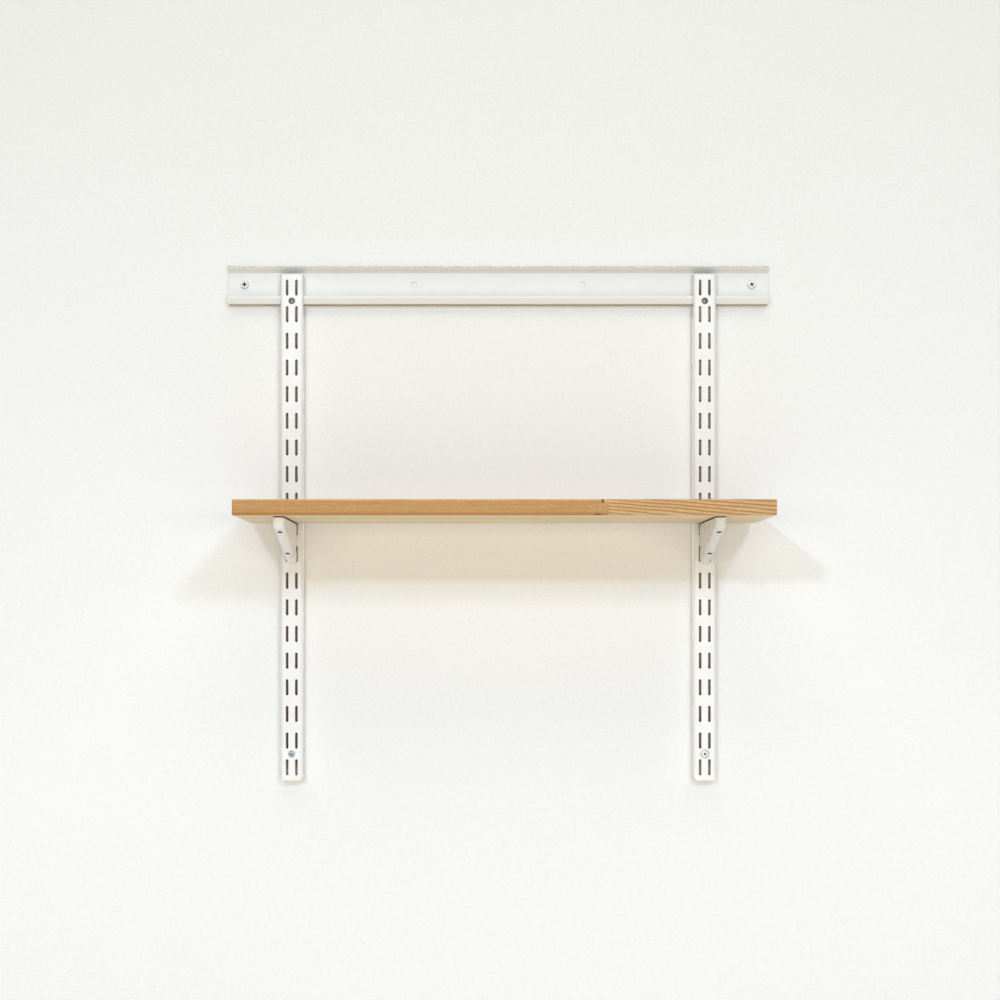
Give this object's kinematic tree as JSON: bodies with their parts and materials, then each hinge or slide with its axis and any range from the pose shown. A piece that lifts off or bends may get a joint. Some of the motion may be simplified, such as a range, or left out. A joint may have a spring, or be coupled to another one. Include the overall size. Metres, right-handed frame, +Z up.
{
  "type": "wall shelf with brackets",
  "caption": "Wall shelf: a hang rail, slotted uprights hooked over its lip, folded brackets hooked into the slots and a laminated pine board screwed on top.",
  "frame": {"origin": "on the wall plane, at the back of the hang rail, on the line of its screw holes and midway between the uprights", "axes": "+Z up, +Y into the wall (the shelf stands out towards -Y), +X to the right for someone facing the wall"},
  "size_m": [0.652, 0.2508, 0.6188],
  "materials": {
    "white_paint": "satin white powder coat",
    "pine_board": "laminated pine, clear satin",
    "white_screw": "white painted screw head",
    "zinc_screw": "bright zinc plate",
    "nylon_plug": "moulded grey nylon"
  },
  "bodies": {
    "wall_frame": {"hang_rail": "white_paint", "left_upright": "white_paint", "right_upright": "white_paint", "rail_screw_left": "white_screw", "rail_screw_right": "white_screw", "upright_screw_left": "zinc_screw", "upright_screw_right": "white_screw", "rail_plug_left": "nylon_plug", "rail_plug_right": "nylon_plug", "upright_plug_left": "nylon_plug", "upright_plug_right": "nylon_plug"},
    "shelf_unit": {"shelf_board": "pine_board", "left_bracket": "white_paint", "right_bracket": "white_paint", "shelf_screw_left_rear": "zinc_screw", "shelf_screw_left_front": "zinc_screw", "shelf_screw_right_rear": "zinc_screw", "shelf_screw_right_front": "zinc_screw"}
  },
  "joints": [
    {"name": "shelf_lift", "type": "slide", "parent": "wall_frame", "child": "shelf_unit", "axis": [0, 0, 1], "range_m": [0, 0.0065]}
  ]
}
